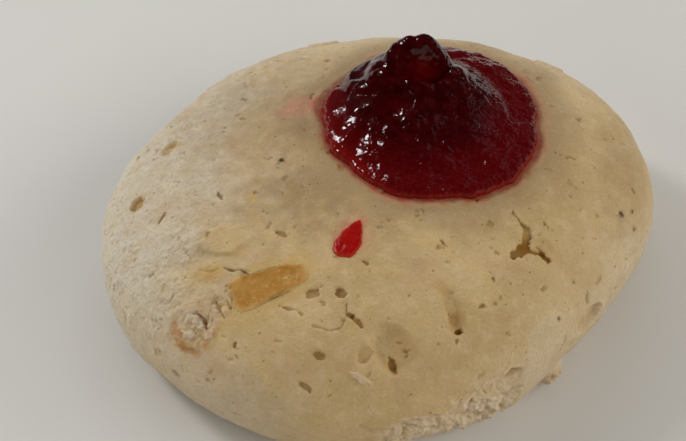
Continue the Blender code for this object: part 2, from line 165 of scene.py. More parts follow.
# Cracks: depth, then each bend's x and y, half width (mm) and browning
CRACKS = (
    (0.45, (
        (16.9, -8.1, 0.08, 0.3), (17.7, -9.6, 0.18, 0.5),
        (18.1, -10.1, 0.32, 0.6), (18.5, -10.7, 0.55, 0.35),
        (18.5, -11.6, 0.58, 0.55), (18.4, -12.2, 0.58, 0.95),
        (18.2, -13.0, 0.65, 1.0), (17.6, -13.7, 0.68, 0.9),
        (16.8, -14.4, 0.55, 0.8),
    )),
    (0.45, (
        (18.2, -13.0, 0.55, 1.0), (18.9, -13.4, 0.28, 0.9),
        (19.9, -13.4, 0.36, 0.9), (20.5, -13.5, 0.50, 1.0),
        (21.1, -14.0, 0.42, 0.95),
    )),
    (0.20, ((18.2, -14.2, 0.10, 0.4), (18.4, -15.0, 0.08, 0.4))),
    (0.35, ((-3.4, -24.3, 0.30, 0.6), (-2.7, -24.9, 0.32, 0.6), (-2.2, -25.5, 0.25, 0.6))),
    (0.15, ((-22.3, -16.2, 0.08, 0.2), (-20.8, -16.8, 0.14, 0.35), (-19.7, -16.5, 0.06, 0.2))),
    (0.30, (
        (-19.1, -16.5, 0.08, 0.6), (-18.0, -17.1, 0.14, 0.8),
        (-17.1, -17.0, 0.10, 0.7), (-16.2, -17.6, 0.16, 0.9),
        (-15.7, -18.1, 0.12, 0.8),
    )),
    (0.18, (
        (-4.0, -22.8, 0.10, 0.3), (-4.0, -24.3, 0.10, 0.3),
        (-4.7, -25.6, 0.10, 0.3), (-6.0, -25.9, 0.10, 0.3),
        (-8.2, -25.2, 0.08, 0.2),
    )),
    (0.20, ((-12.3, -22.3, 0.15, 0.4), (-11.2, -22.8, 0.22, 0.5), (-10.4, -22.9, 0.12, 0.4))),
    (0.20, ((-10.1, -23.0, 0.12, 0.4), (-9.4, -23.7, 0.18, 0.45))),
    (0.35, (
        (-22.9, -21.5, 0.08, 0.5), (-22.0, -22.0, 0.16, 0.7),
        (-21.4, -22.9, 0.20, 0.8), (-21.0, -24.0, 0.12, 0.6),
    )),
    (0.30, ((-20.1, -20.8, 0.15, 0.5), (-19.6, -21.7, 0.25, 0.6), (-18.9, -23.0, 0.12, 0.5))),
    (0.25, ((-18.6, -21.0, 0.10, 0.4), (-18.2, -21.9, 0.16, 0.5))),
)
# Flaking skin: x, y, length, width, turn, height of the flakes, how browned the edge is
FLAKES = (
    (-22.2, -23.2, 6.4, 5.0, -40, 0.5, 1.0),
    (-19.4, -21.6, 3.2, 2.8, -60, 0.45, 0.3),
    (-25.0, -13.5, 12.0, 8.0, 60, 0.22, 0.0),
    (-24.5, -18.5, 7.0, 5.4, 20, 0.25, 0.0),
    (-16.6, -17.6, 3.0, 1.6, -20, 0.35, 0.0),
)
FLAKE_SIZE = 1.7 * MM

# Dry floury skin: between which places it fades, in x, y, y and level, and its grit
FLOUR_LEFT = (-34 * MM, -6 * MM)
FLOUR_FRONT = (-34 * MM, -20 * MM)
FLOUR_BACK = (5 * MM, 30 * MM)
FLOUR_LOW = (9 * MM, 17 * MM)
GRIT_HEIGHT = 0.13 * MM

# Patches of colour in the dough: which, x, y, length, width, turn (mm and degrees), amount. The moist
# ones are damp darkening that is mostly painted shade, near the jam and over the upper left; the tan
# ones partly paint the shade on the walls of dents.
TINTS = (
    ("moist", -12.0, 9.0, 44.0, 40.0, 0, 0.6),
    ("moist", -7.0, -5.0, 32.0, 22.0, 15, 0.85),
    ("moist", -10.0, 8.0, 16.0, 24.0, 0, 1.0),
    ("moist", 33.0, 4.0, 20.0, 26.0, 0, 0.4),
    ("tan", 20.9, -12.8, 6.0, 5.0, -35, 0.3),
    ("tan", 7.4, -20.2, 3.6, 2.2, -30, 0.6),
    ("tan", 9.4, -23.9, 4.4, 3.0, -70, 0.75),
    ("ochre", 18.5, -11.2, 2.4, 1.6, -85, 0.5),
    ("tan", -2.6, -25.2, 4.0, 2.2, -40, 0.35),
    ("tan", 2.6, -27.4, 6.6, 3.6, -58, 0.45),
    ("tan", 5.4, -13.2, 6.0, 3.0, 10, 0.15),
    ("ochre", 1.7, -29.6, 3.2, 2.2, -58, 0.5),
    ("ochre", -13.3, -19.4, 14.0, 7.6, 22, 0.95),
    ("ochre", -16.4, -23.2, 9.0, 5.0, 10, 0.5),
    ("ochre", -15.8, -6.6, 2.2, 1.5, -60, 0.7),
    ("ochre", -15.4, -9.6, 4.0, 2.0, -75, 0.3),
    ("ochre", -19.0, -12.7, 6.4, 5.6, 10, 0.6),
    ("ochre", -20.8, -16.8, 5.0, 2.2, 5, 0.9),
    ("tan", -20.3, -17.7, 4.2, 2.2, 10, 0.9),
    ("ochre", -27.2, 5.6, 3.8, 2.4, 48, 0.8),
    ("ochre", -31.0, -3.2, 3.0, 2.2, 52, 1.0),
    ("tan", -30.6, -3.6, 1.6, 1.2, 52, 0.6),
    ("ochre", 26.0, -20.0, 14.0, 9.0, 50, 0.15),
    ("pink", -19.5, -18.2, 3.6, 2.2, -10, 0.6),
    ("pink", -26.5, -6.0, 5.0, 3.4, 40, 0.45),
    ("pink", -18.6, 4.0, 6.0, 4.4, 20, 0.35),
    ("pink", -20.5, -27.0, 8.0, 4.0, -35, 0.4),
    ("pink", -10.0, -30.0, 9.0, 5.0, -20, 0.25),
    ("pink", 4.0, -18.0, 14.0, 7.0, 20, 0.2),
    ("toast", -25.2, -21.8, 2.0, 3.4, 0, 0.8),
    ("toast", -24.6, -23.5, 2.6, 3.4, 20, 1.0),
    ("toast", -23.2, -24.9, 4.0, 2.4, -25, 1.0),
    ("toast", -21.2, -25.1, 3.0, 2.2, 10, 0.8),
    ("toast", -20.2, -24.2, 1.8, 2.8, 0, 0.9),
    ("toast", -22.4, -23.5, 5.0, 3.6, -30, 0.5),
    ("blush", -3.5, -13.4, 8.8, 4.8, 68, 0.75),
    ("stain", -7.6, 10.6, 2.8, 4.6, 0, 0.5),
    ("blush", -9.8, 10.6, 8.0, 4.4, 15, 0.45),
    ("moist", -10.4, 10.4, 9.0, 7.0, 15, 1.0),
    ("blush", 21.8, 10.0, 3.0, 9.0, 0, 0.25),
    ("pink", -9.6, 10.4, 10.0, 7.0, 20, 0.7),
)
SOFT_TINTS = ("moist", "pink")  # those that fade out from the middle on
TINT_COLOURS = (
    ("ochre", (0.62, 0.41, 0.14)),
    ("pink", (0.54, 0.36, 0.215)),
    ("tan", (0.54, 0.34, 0.135)),
    ("toast", (0.50, 0.25, 0.08)),
    ("crumb", (0.70, 0.575, 0.41)),
    ("blush", (0.56, 0.19, 0.12)),
    ("stain", (0.36, 0.07, 0.04)),
)

# Pores burst through the skin everywhere: how many, and radius from and to
PORE_COUNT = 2000
PORE_RADII = (0.06 * MM, 0.36 * MM)
PORE_RARITY = 6  # the higher, the fewer large ones
PORE_DEPTH = 0.5  # share of the radius
PORE_STRETCH = 1.2  # how much longer than wide they can be
# Pore floors are painted darker, browning with painted shade
PORE_DARKENING = (0.1, 0.4)  # least, and how much more there can be

# Broken crust along the front rim: a shallow ledge, and a deeper one of rough crumb below it
BREAK_BEARINGS = (-93, -56)  # degrees
# The ledges' brown and tan amounts darken the crumb's hollows and recess: browning with painted shade
BREAK_LEDGES = (  # level at the left and right end, raggedness, depth, relief, crumb, brown, tan
    (8.6 * MM, 11.8 * MM, 1.4 * MM, 1.2 * MM, 0.28 * MM, 0.6, 0.0, 0.35),
    (7.8 * MM, 8.6 * MM, 1.2 * MM, 0.8 * MM, 0.42 * MM, 1.0, 0.45, 0.0),
)
BREAK_FADE = 0.12  # radians over which each end fades out
BREAK_TOP = 15 * MM  # it stays below this level
BREAK_EDGE = 0.15 * MM  # how far the crust curls up over each ledge
BREAK_SWELL = 1.7 * MM  # the broken side bulges this far beyond the rim above it
SWELL_LEVELS = (4 * MM, 10.5 * MM)  # the bulge fades out from the first to the second
FOOT_LEVELS = (0.2 * MM, 1.0 * MM)  # and the break fades out down here
CRUMB_SIZE = 1.5 * MM
CRUMB_GRAINS = (  # size of the finer lumps, share of the ledge's relief
    (1.0 * MM, 0.6),
    (0.55 * MM, 0.5),
    (0.35 * MM, 0.3),
)
CHUNK_BEARING = -43
CHUNK_INSET = 0.95  # its middle, as a share of the outline
CHUNK_LEVEL = 2.3 * MM
CHUNK_RADIUS = 2.0 * MM
CHUNK_HEIGHT = 1.4 * MM
CHUNK_ROUGHNESS = 0.7 * MM

# Dollop of jam: an uneven puddle with a mound, a ridge and a knob stacked on it
JAM_RADIUS = 14.7 * MM
JAM_OUTLINE_WAVES = (
    (1, 0.052, -53), (2, 0.051, 74), (3, 0.028, -57), (4, 0.009, -18),
    (5, 0.008, 27), (6, 0.005, 11), (8, 0.008, -17), (9, 0.006, 12),
    (13, 0.006, 10), (19, 0.004, 7),
)
PUDDLE_THICKNESS = 1.8 * MM
JAM_SINK = 0.1 * MM  # how deep its underside sits in the dough
JAM_MOUNDS = (  # x, y, half width, half depth, height, fullness (mm), from the jam's middle
    (-1.8, -0.2, 12.2, 12.0, 2.6, 2.2),
    (-1.2, 2.6, 7.4, 6.4, 2.3, 2.3),
    (-6.9, 4.4, 4.9, 5.2, 2.0, 2.5),
    (3.9, 2.6, 4.2, 3.8, 1.1, 2.0),
    (-1.2, 4.8, 4.4, 3.6, 2.9, 2.6),
    (-0.9, 5.2, 2.8, 2.4, 1.0, 2.0),
    (-5.1, 3.4, 1.2, 1.2, 1.6, 2.0),
    (-2.2, -6.2, 4.2, 2.8, 0.4, 2.0),
    (7.2, 8.4, 4.6, 3.6, 0.4, 2.0),
    (-7.8, -1.0, 3.2, 3.4, 0.6, 2.0),
    (5.2, -6.6, 4.2, 3.0, 0.3, 2.0),
)
JAM_HOLLOWS = (  # x, y, half width, half depth, depth, fullness (mm); the first two glow
    (-0.9, 1.6, 3.6, 2.0, 1.7, 2.4),
    (-4.9, -2.5, 2.9, 2.0, 1.5, 2.4),
    (-9.0, 4.2, 1.5, 2.2, 0.6, 2.0),
)
JAM_LUMPS = ((4.2 * MM, 0.45 * MM), (2.2 * MM, 0.4 * MM))
JAM_PULP = (  # size and height of the grains of pulp
    (1.7 * MM, 0.12 * MM),
    (0.8 * MM, 0.09 * MM),
    (0.45 * MM, 0.06 * MM),
)
JAM_EDGE_WANDER = (  # size and height of the scallops
    (3.0 * MM, 0.35 * MM),
    (1.3 * MM, 0.25 * MM),
    (0.6 * MM, 0.12 * MM),
)
TOUCHING_GAP = 0.3 * MM  # the part's solid starts this far up; here it is thickness instead
THIN_JAM = (0.3 * MM, 1.3 * MM)  # the bright rim fades out between these thicknesses
LEFT_THIN_JAM = 0.9 * MM  # the second is this much more at the left
LOW_JAM = (1.8 * MM, 4.0 * MM)  # the puddle's colour fades out between these
GLOWING_DEPTH = 2 * MM  # depth of a hollow that glows fully

# Bits of candied fruit set in the skin; each rises a little out of it
RED_BIT = dict(
    x=-3.5 * MM,
    y=-13.4 * MM,
    length=6.6 * MM,
    width=2.9 * MM,
    thick=2.4 * MM,
    turn=68,
    rise=0.3 * MM,
    blunt=0.85,  # below 1 squares the ends
    square=1.0,  # below 1 squares the corners
    taper=0.62,  # how much narrower it gets ahead
    relief=0.06 * MM,
    ragged=0.15 * MM,  # how far its outline wanders
    rim=0.8,  # beyond this share of the way out its colour turns to the dough's
    faded=0.0,  # how much it does so at the end ahead
)
PEEL_BIT = dict(
    x=-13.6 * MM,
    y=-19.3 * MM,
    length=10.2 * MM,
    width=4.2 * MM,
    thick=1.8 * MM,
    turn=18,
    rise=0.16 * MM,
    blunt=0.4,
    square=0.45,
    taper=0.26,
    relief=0.03 * MM,
    ragged=0.5 * MM,
    rim=0.55,
    faded=0.9,
)
FRUIT_FLATNESS = 0.35  # below 1 flattens the top and steepens the sides

# Mesh density
DOUGH_SPHERE_LEVEL = 9
DOUGH_TRIANGLES = 190_000
UNDERSIDE_POINTS = 0.12  # share of the dough's points that go to its flat underside
JAM_SPHERE_LEVEL = 8
JAM_TRIANGLES = 150_000
FRUIT_SPHERE_LEVEL = 6

TABLE_HALF_WIDTH = 0.6
TABLE_CELLS = 24


def smooth(low, high, value):
    t = np.clip((value - low) / (high - low), 0.0, 1.0)
    return t * t * (3 - 2 * t)


def bump(middle, half_width, value):
    """1 at the middle value, fading to 0 at half_width on either side."""
    return 1 - smooth(0, half_width, np.abs(value - middle))


def lumps(points, size, seed):
    """Soft noise between about -1 and 1 with features of the given size."""
    shift = Vector((seed * 17.3, seed * 5.1, seed * 9.7))
    return np.array([noise.noise(Vector(p) / size + shift) for p in points])


def scrambled(cell, order):
    """A number below 256 for each cell of a grid, always the same for the same cell."""
    index = order[cell[:, 0] & 255]
    index = order[(index + cell[:, 1]) & 255]
    return order[(index + cell[:, 2]) & 255]


def lattice(points, size, seed):
    """Random numbers, an order for scrambled, and each point's spot and cell in a grid."""
    rng = np.random.default_rng(seed)
    order = rng.permutation(256)
    spot = points / size
    return rng, order, spot, np.floor(spot).astype(int)


def grain(points, size, seed):
    """Gradient noise like lumps, quicker on many points."""
    rng, order, spot, cell = lattice(points, size, seed)
    slopes = rng.normal(size=(256, 3))
    slopes /= np.linalg.norm(slopes, axis=1)[:, None]
    within = spot - cell
    fade = within**3 * (within * (within * 6 - 15) + 10)
    total = np.zeros(len(points))
    for corner in itertools.product((0, 1), repeat=3):
        slope = slopes[scrambled(cell + corner, order)]
        weight = np.prod(np.where(corner, fade, 1 - fade), axis=1)
        total += weight * ((within - corner) * slope).sum(axis=1)
    return 1.6 * total


def mixed(points, size, share, finer, seed):
    """Grain of two sizes, the finer with a share of the height."""
    return grain(points, size, seed) + share * grain(points, finer, seed + 1)


def cells(points, size, seed):
    """Distances to the nearest and the second nearest of scattered seeds, in cell sizes."""
    rng, order, spot, cell = lattice(points, size, seed)
    places = rng.random((256, 3))
    nearest = np.full(len(points), np.inf)
    second = np.full(len(points), np.inf)
    for corner in itertools.product((-1, 0, 1), repeat=3):
        seeds = cell + corner + places[scrambled(cell + corner, order)]
        away = np.linalg.norm(seeds - spot, axis=1)
        second = np.minimum(second, np.maximum(nearest, away))
        nearest = np.minimum(nearest, away)
    return nearest, second


def wavy(bearing, waves):
    """Outline radius round the rim, as a factor near 1."""
    factor = np.ones_like(bearing)
    for count, amount, crest in waves:
        factor = factor + amount * np.cos(count * (bearing - math.radians(crest)))
    return factor


def bun_profile():
    """Side view of the dough from the middle of the top, over the belly, to the middle
    of the underside: radius share, height, and share of the skin's area so far."""
    turn = np.linspace(0, math.pi / 2, 240)
    crown = np.sin(turn) ** (2 / TOP_FULLNESS)
    crown_height = (COOKIE_HEIGHT - BELLY_HEIGHT) * np.cos(turn) ** (2 / SHOULDER_FULLNESS)
    crown_height += BELLY_HEIGHT
    belly = FOOT_SHARE + (1 - FOOT_SHARE) * np.cos(turn[1:])
    belly_height = BELLY_HEIGHT * (1 - np.sin(turn[1:]))
    foot = np.linspace(FOOT_SHARE, 0, 60)[1:]
    share = np.concatenate([crown, belly, foot])
    height = np.concatenate([crown_height, belly_height, np.zeros_like(foot)])
    run = np.hypot(np.diff(share) * COOKIE_WIDTH / 2, np.diff(height))
    area = np.concatenate([[0], np.cumsum(run * (share[1:] + share[:-1]) / 2)])
    return share, height, area / area[-1]


def seat_dip(x, y):
    """How far the seat for the jam is pressed below the plain top."""
    reach = np.hypot(x - JAM_CENTRE[0], y - JAM_CENTRE[1]) / SEAT_RADIUS
    return SEAT_DEPTH * (1 - smooth(0.55, 1.1, reach))


def dough_form(directions):
    """Points of the plain bun for the unit directions of a sphere, evenly spread."""
    share, height, area = bun_profile()
    foot = area[height > 0].max()
    spot = (1 - directions[:, 2]) / 2
    spot = np.interp(spot, (0, 1 - UNDERSIDE_POINTS, 1), (0, foot, 1))
    bearing = np.arctan2(directions[:, 1], directions[:, 0])
    radius = np.interp(spot, area, share) * wavy(bearing, OUTLINE_WAVES)
    x = radius * np.cos(bearing) * COOKIE_WIDTH / 2
    y = radius * np.sin(bearing) * COOKIE_DEPTH / 2
    z = np.interp(spot, area, height)
    above = smooth(BELLY_HEIGHT, COOKIE_HEIGHT, z)
    return np.column_stack([x, y, z - seat_dip(x, y) * above])


def top_of_dough(x, y):
    """Height of the plain top of the dough above each (x, y)."""
    share, height, _ = bun_profile()
    crown = height >= BELLY_HEIGHT
    bearing = np.arctan2(y / COOKIE_DEPTH, x / COOKIE_WIDTH)
    reach = np.hypot(x / (COOKIE_WIDTH / 2), y / (COOKIE_DEPTH / 2)) / wavy(bearing, OUTLINE_WAVES)
    plain = np.interp(reach, share[crown], height[crown])
    return plain - seat_dip(x, y) * smooth(BELLY_HEIGHT, COOKIE_HEIGHT, plain)


def jam_reach(x, y):
    """Distance from the middle of the jam, as a share of its outline."""
    across, along = x - JAM_CENTRE[0], y - JAM_CENTRE[1]
    bearing = np.arctan2(along, across)
    return np.hypot(across, along) / (JAM_RADIUS * wavy(bearing, JAM_OUTLINE_WAVES))


class Skin:
    """The dough's points, the relief raised on them and the masks that colour it."""

    def __init__(self, points, normals):
        self.points = points
        self.normals = normals
        self.rise = np.zeros(len(points))
        self.cut = np.zeros(len(points))
        self.masks = {}
        self.on_top = points[:, 2] > BELLY_HEIGHT
        self.ragged = grain(points, 0.5 * MM, seed=2)

    def paint(self, name, amount, where=slice(None)):
        mask = self.masks.setdefault(name, np.zeros(len(self.points)))
        mask[where] = np.maximum(mask[where], amount)

    def reach(self, x, y, length, width, turn):
        """The points near a spot on the top, and how far out they are in an oval on it."""
        away = np.hypot(self.points[:, 0] - x * MM, self.points[:, 1] - y * MM)
        away[~self.on_top] = np.inf
        nearest = int(np.argmin(away))
        normal = self.normals[nearest]
        along = np.array([math.cos(math.radians(turn)), math.sin(math.radians(turn)), 0.0])
        along -= normal * (along @ normal)
        along /= np.linalg.norm(along)
        offset = self.points - self.points[nearest]
        near = np.flatnonzero(np.linalg.norm(offset, axis=1) < 0.7 * max(length, width) * MM)
        offset = offset[near]
        across = np.cross(normal, along)
        reach = np.hypot(offset @ along / (length / 2 * MM), offset @ across / (width / 2 * MM))
        return near, reach

    def hole(self, mask, ragged, place):
        """Sinks one dimple or pit, and colours its floor."""
        x, y, length, width, turn, depth, steepness, amount = place
        near, reach = self.reach(x, y, length, width, turn)
        wander = lumps(self.points[near], 0.8 * width * MM, seed=3)
        wander += 0.8 * grain(self.points[near], 0.35 * width * MM, seed=4)
        sunk = 1 - smooth(1 - steepness, 1.0, reach + ragged * wander)
        self.rise[near] -= depth * MM * sunk
        self.paint(mask, amount * smooth(0.3, 0.7, sunk), near)

    def plate(self, x, y, length, width, turn, height, frosted):
        """Raises a thin plate of skin with a crisp edge."""
        near, reach = self.reach(x, y, length, width, turn)
        wander = mixed(self.points[near], 0.45 * width * MM, 0.4, 0.2 * width * MM, seed=35)
        raised = 1 - smooth(0.75, 1.0, reach + PLATE_RAGGED * wander)
        self.rise[near] += height * MM * raised
        self.paint("frost", frosted * raised, near)

    def speck(self, x, y, radius):
        near, reach = self.reach(x, y, 2 * radius, 2 * radius, 0)
        self.paint("char", 1 - smooth(0.8, 1.2, reach), near)

    def crack(self, depth, bends):
        """Sinks a crack through the given bends; its width and browning change along it."""
        plan = self.points[:, :2] / MM
        outside = np.full(len(plan), np.inf)
        browned = np.zeros(len(plan))
        broad = np.zeros(len(plan))
        for start, end in zip(bends, bends[1:]):
            start = np.array(start)
            change = np.array(end) - start
            run = change[:2]
            t = np.clip((plan - start[:2]) @ run / (run @ run), 0, 1)
            away = np.linalg.norm(plan - start[:2] - t[:, None] * run, axis=1)
            half_width = start[2] + t * change[2]
            away -= half_width
            browned = np.where(away < outside, start[3] + t * change[3], browned)
            broad = np.where(away < outside, half_width, broad)
            outside = np.minimum(outside, away)
        near = np.flatnonzero((outside < 1) & self.on_top)
        wander = mixed(self.points[near], 0.9 * MM, 0.9, 0.45 * MM, seed=5)
        wander *= 0.08 + 0.26 * broad[near]
        sunk = 1 - smooth(-0.12, 0.08, outside[near] + wander)
        self.cut[near] = np.maximum(self.cut[near], depth * MM * sunk)
        self.paint("brown_and_shade", browned[near] * smooth(0.3, 0.7, sunk), near)

    def flakes(self, x, y, length, width, turn, height, browned):
        """Torn skin: pale loose plates with dark gaps between them, inside a browned edge; the gaps are
        darkened with browning and painted shade.
        """
        near, reach = self.reach(x, y, length, width, turn)
        points = self.points[near]
        reach = reach + 0.4 * grain(points, 1.8 * MM, seed=9)
        inside = 1 - smooth(0.55, 1.0, reach)
        warped = points + 0.5 * MM * grain(points, 1.2 * MM, seed=24)[:, None]
        nearest, second = cells(warped, FLAKE_SIZE, seed=7)
        gap = 1 - smooth(0.02, 0.16, second - nearest)
        gap *= smooth(-0.1, 0.5, grain(points, 2.6 * MM, seed=25))
        lift = grain(points, 2.4 * MM, seed=8) + 0.5 * grain(points, 0.5 * MM, seed=10)
        self.rise[near] += height * MM * inside * (0.9 * lift - 0.8 * gap)
        ring = smooth(0.4, 0.85, reach) * (1 - smooth(0.9, 1.1, reach))
        self.paint("toast", 0.4 * browned * ring * smooth(-0.3, 0.4, lift), near)
        pale = (1 - smooth(0.3, 0.8, reach)) * (1 - gap) * smooth(-0.2, 0.5, lift)
        self.paint("frost", (0.25 + 0.55 * browned) * pale, near)
        # Painted shade with browning in the gaps between the flakes
        self.paint("brown_and_shade", (0.25 + 0.35 * browned) * gap * inside, near)

    def tint(self, mask, place, amount):
        """Colours an oval patch with a ragged edge."""
        near, reach = self.reach(*place)
        points = self.points[near]
        reach = reach + 0.3 * grain(points, 1.6 * MM, seed=21) + 0.12 * grain(points, 0.6 * MM, seed=22)
        middle = 0.0 if mask in SOFT_TINTS else 0.5
        amount = amount * (1 - smooth(middle, 1.1, reach))
        if mask == "toast":
            amount *= 0.3 + 0.7 * smooth(-0.3, 0.3, grain(points, 0.9 * MM, seed=23))
        self.paint(mask, amount, near)

    def lumpy(self):
        """Uneven dough, calm where the jam sits."""
        for seed, (size, height) in enumerate(DOUGH_LUMPS):
            self.rise += height * lumps(self.points, size, seed)
        x, y, _ = self.points.T
        from_seat = np.hypot(x - JAM_CENTRE[0], y - JAM_CENTRE[1]) / SEAT_RADIUS
        calm = smooth(0.97, 1.2, from_seat)
        self.rise *= np.where(self.on_top, calm, 1.0)
        for size, height in SKIN_GRAIN:
            self.rise += height * grain(self.points, size, seed=int(size * 1e7))

    def seat_ridge(self):
        """Dough pushed up round the edge of the jam, stained by it, and darkened near it with painted
        shade.
        """
        x, y, _ = self.points.T
        reach = jam_reach(x, y)
        uneven = grain(self.points, 5 * MM, seed=31)
        ridge = SEAT_RIDGE * bump(1.075 + 0.02 * uneven, 0.07, reach) * (0.6 + 0.6 * uneven)
        self.rise += ridge * self.on_top
        frayed = reach + 0.03 * grain(self.points, 1.3 * MM, seed=32) + 0.015 * self.ragged
        ahead = smooth(0, 10 * MM, JAM_CENTRE[1] - y)
        bleed = 1 - smooth(0.985, 1.045 + 0.04 * ahead + 0.04 * uneven, frayed)
        self.paint("stain", bleed * self.on_top)
        burnt = bump(1.055, 0.05, frayed)
        burnt *= smooth(0.2, 0.5, grain(self.points, 0.8 * MM, seed=33))
        self.paint("brown_and_shade", 0.8 * ahead * burnt * self.on_top)
        glow = 0.6 * (1 - smooth(1.0, 1.12 + 0.05 * uneven, frayed))
        self.paint("blush", glow * self.on_top)
        # Damp darkening round the jam, mostly painted shade cast by the jam
        moist = 0.85 * (1 - smooth(1.0, 1.6 + 0.3 * uneven, frayed))
        self.paint("moist", moist * self.on_top)

    def broken_rim(self):
        """Crumb laid bare where the crust has broken away along the front rim."""
        points = self.points
        bearing = np.arctan2(points[:, 1] / COOKIE_DEPTH, points[:, 0] / COOKIE_WIDTH)
        first, last = (math.radians(b) for b in BREAK_BEARINGS)
        beside = (bearing > first - BREAK_FADE) & (bearing < last + BREAK_FADE)
        near = np.flatnonzero(beside & (points[:, 2] < BREAK_TOP))
        points, bearing = points[near], bearing[near]
        z = points[:, 2]
        ragged = lumps(points, 2.4 * MM, seed=11) + 0.4 * grain(points, 0.8 * MM, seed=13)
        crumb = 0.6 * lumps(points, CRUMB_SIZE, seed=12)
        for seed, (size, amount) in enumerate(CRUMB_GRAINS):
            crumb += amount * grain(points, size, seed=15 + seed)
        share = np.clip((bearing - first) / (last - first), 0, 1)
        ends = smooth(first, first + BREAK_FADE, bearing + 0.05 * ragged)
        ends = ends * (1 - smooth(last - BREAK_FADE, last, bearing + 0.05 * ragged))
        foot = smooth(*FOOT_LEVELS, z)
        rise = BREAK_SWELL * (1 - smooth(*SWELL_LEVELS, z))
        for left, right, wander, depth, relief, pale, brown_and_shade, tan in BREAK_LEDGES:
            level = left + (right - left) * share + wander * ragged
            below = 1 - smooth(level - 0.2 * MM, level, z)
            rise += below * (relief * crumb - depth)
            lip = bump(0.25 * MM, 0.45 * MM, z - level)
            rise += BREAK_EDGE * lip * (1 + grain(points, 0.5 * MM, seed=19))
            bare = below * ends * foot
            self.paint("crumb", pale * bare, near)
            torn = smooth(-0.1, 0.5, grain(points, 1.2 * MM, seed=29))
            self.paint("frost", 0.6 * lip * torn * ends * foot, near)
            # Painted shade with browning in the hollows of the bare crumb
            self.paint("brown_and_shade", brown_and_shade * bare * smooth(0.1, -0.8, crumb), near)
            # Tan over the bare crumb, partly painted shade of the recess
            self.paint("tan", tan * bare, near)
        self.rise[near] += rise * ends * foot

    def rim_chunk(self):
        """Lump of crumb that sticks out under the rim at the front right."""
        bearing = math.radians(CHUNK_BEARING)
        outline = wavy(np.array([bearing]), OUTLINE_WAVES)[0] * CHUNK_INSET
        centre = np.array([
            math.cos(bearing) * COOKIE_WIDTH / 2 * outline,
            math.sin(bearing) * COOKIE_DEPTH / 2 * outline,
            CHUNK_LEVEL,
        ])
        away = np.linalg.norm(self.points - centre, axis=1)
        near = np.flatnonzero(away < 2 * CHUNK_RADIUS)
        rough = lumps(self.points[near], CRUMB_SIZE, seed=14)
        fine = 0.9 - 2 * cells(self.points[near], 0.6 * MM, seed=16)[0]
        out = 1 - smooth(0.5, 1.2, away[near] / CHUNK_RADIUS + 0.25 * rough)
        self.rise[near] += (CHUNK_HEIGHT + CHUNK_ROUGHNESS * (rough + 0.5 * fine)) * out
        self.paint("crumb", 0.5 * smooth(0.1, 0.5, out), near)
        self.paint("tan", 0.6 * smooth(0.1, 0.5, out), near)
        # Painted shade with browning in the hollows of the chunk's crumb
        self.paint("brown_and_shade", 0.5 * out * smooth(0.0, -0.6, fine), near)

    def pores(self):
        """Small burst bubbles scattered over the whole skin."""
        rng = np.random.default_rng(41)
        tree = kdtree.KDTree(len(self.points))
        for index, point in enumerate(self.points):
            tree.insert(point, index)
        tree.balance()
        least, most = PORE_RADII
        for middle in rng.choice(len(self.points), PORE_COUNT, replace=False):
            radius = least + (most - least) * rng.random() ** PORE_RARITY
            stretch = 1 + PORE_STRETCH * rng.random()
            along = np.cross(self.normals[middle], rng.normal(size=3))
            along /= np.linalg.norm(along) + 1e-9
            dark = PORE_DARKENING[0] + PORE_DARKENING[1] * rng.random()
            found = tree.find_range(self.points[middle], radius * stretch * 1.6)
            near = np.array([index for _, index, _ in found])
            offset = self.points[near] - self.points[middle]
            lengthwise = offset @ along
            rest = np.sqrt(np.maximum((offset**2).sum(axis=1) - lengthwise**2, 0))
            reach = np.hypot(lengthwise / (radius * stretch), rest / radius)
            reach = reach + 1.1 * self.ragged[near]
            sunk = 1 - smooth(0.7, 1.25, reach)
            self.rise[near] -= PORE_DEPTH * radius * sunk
            # Pore floors darkened: browning with painted shade
            self.paint("brown_and_shade", dark * smooth(0.4, 0.9, sunk), near)

    def flour(self):
        """Pale, floury skin on the left, thinning out towards the right."""
        x, y, z = self.points.T
        wander = mixed(self.points, 9 * MM, 0.5, 3 * MM, seed=51)
        left = 1 - smooth(*FLOUR_LEFT, x + 7 * MM * wander - 0.25 * y)
        left *= smooth(*FLOUR_FRONT, y + 3 * MM * wander)
        back = 0.4 * smooth(*FLOUR_BACK, y + 6 * MM * wander)
        low = 0.5 * (1 - smooth(*FLOUR_LOW, z + 2 * MM * wander))
        low *= smooth(6 * MM, 20 * MM, np.abs(x - 1 * MM))
        self.paint("flour", np.maximum(np.maximum(left, back), low))
        grit = mixed(self.points, 0.9 * MM, 0.7, 0.45 * MM, seed=53)
        patchy = smooth(-0.3, 0.5, grain(self.points, 5 * MM, seed=55))
        self.rise += GRIT_HEIGHT * (0.15 + left * (0.4 + 0.6 * patchy)) * grit
        self.paint("frost", 0.8 * left * patchy * smooth(0.2, 0.8, grit))


def shape_dough(points, normals):
    skin = Skin(points, normals)
    skin.lumpy()
    skin.seat_ridge()
    # Dimple floors tinted tan, partly painted shade
    for place in DIMPLES:
        skin.hole("tan", DIMPLE_RAGGED, place)
    for place in PITS:
        skin.hole("brown_and_shade", PIT_RAGGED, place)
    shapes = ((skin.crack, CRACKS), (skin.flakes, FLAKES), (skin.plate, PLATES), (skin.speck, SPECKS))
    for shape, places in shapes:
        for place in places:
            shape(*place)
    skin.pores()
    skin.flour()
    skin.broken_rim()
    skin.rim_chunk()
    for mask, *place, amount in TINTS:
        skin.tint(mask, place, amount)
    standing = smooth(0.0, 1.2 * MM, points[:, 2])
    return (skin.rise - skin.cut) * standing, skin.masks


def sphere_mesh(name, level):
    """A mesh of an icosphere of radius 1, and the directions of its points."""
    shape = bmesh.new()
    bmesh.ops.create_icosphere(shape, subdivisions=level, radius=1.0)
    mesh = finished_mesh(name, shape)
    return mesh, points_of(mesh)


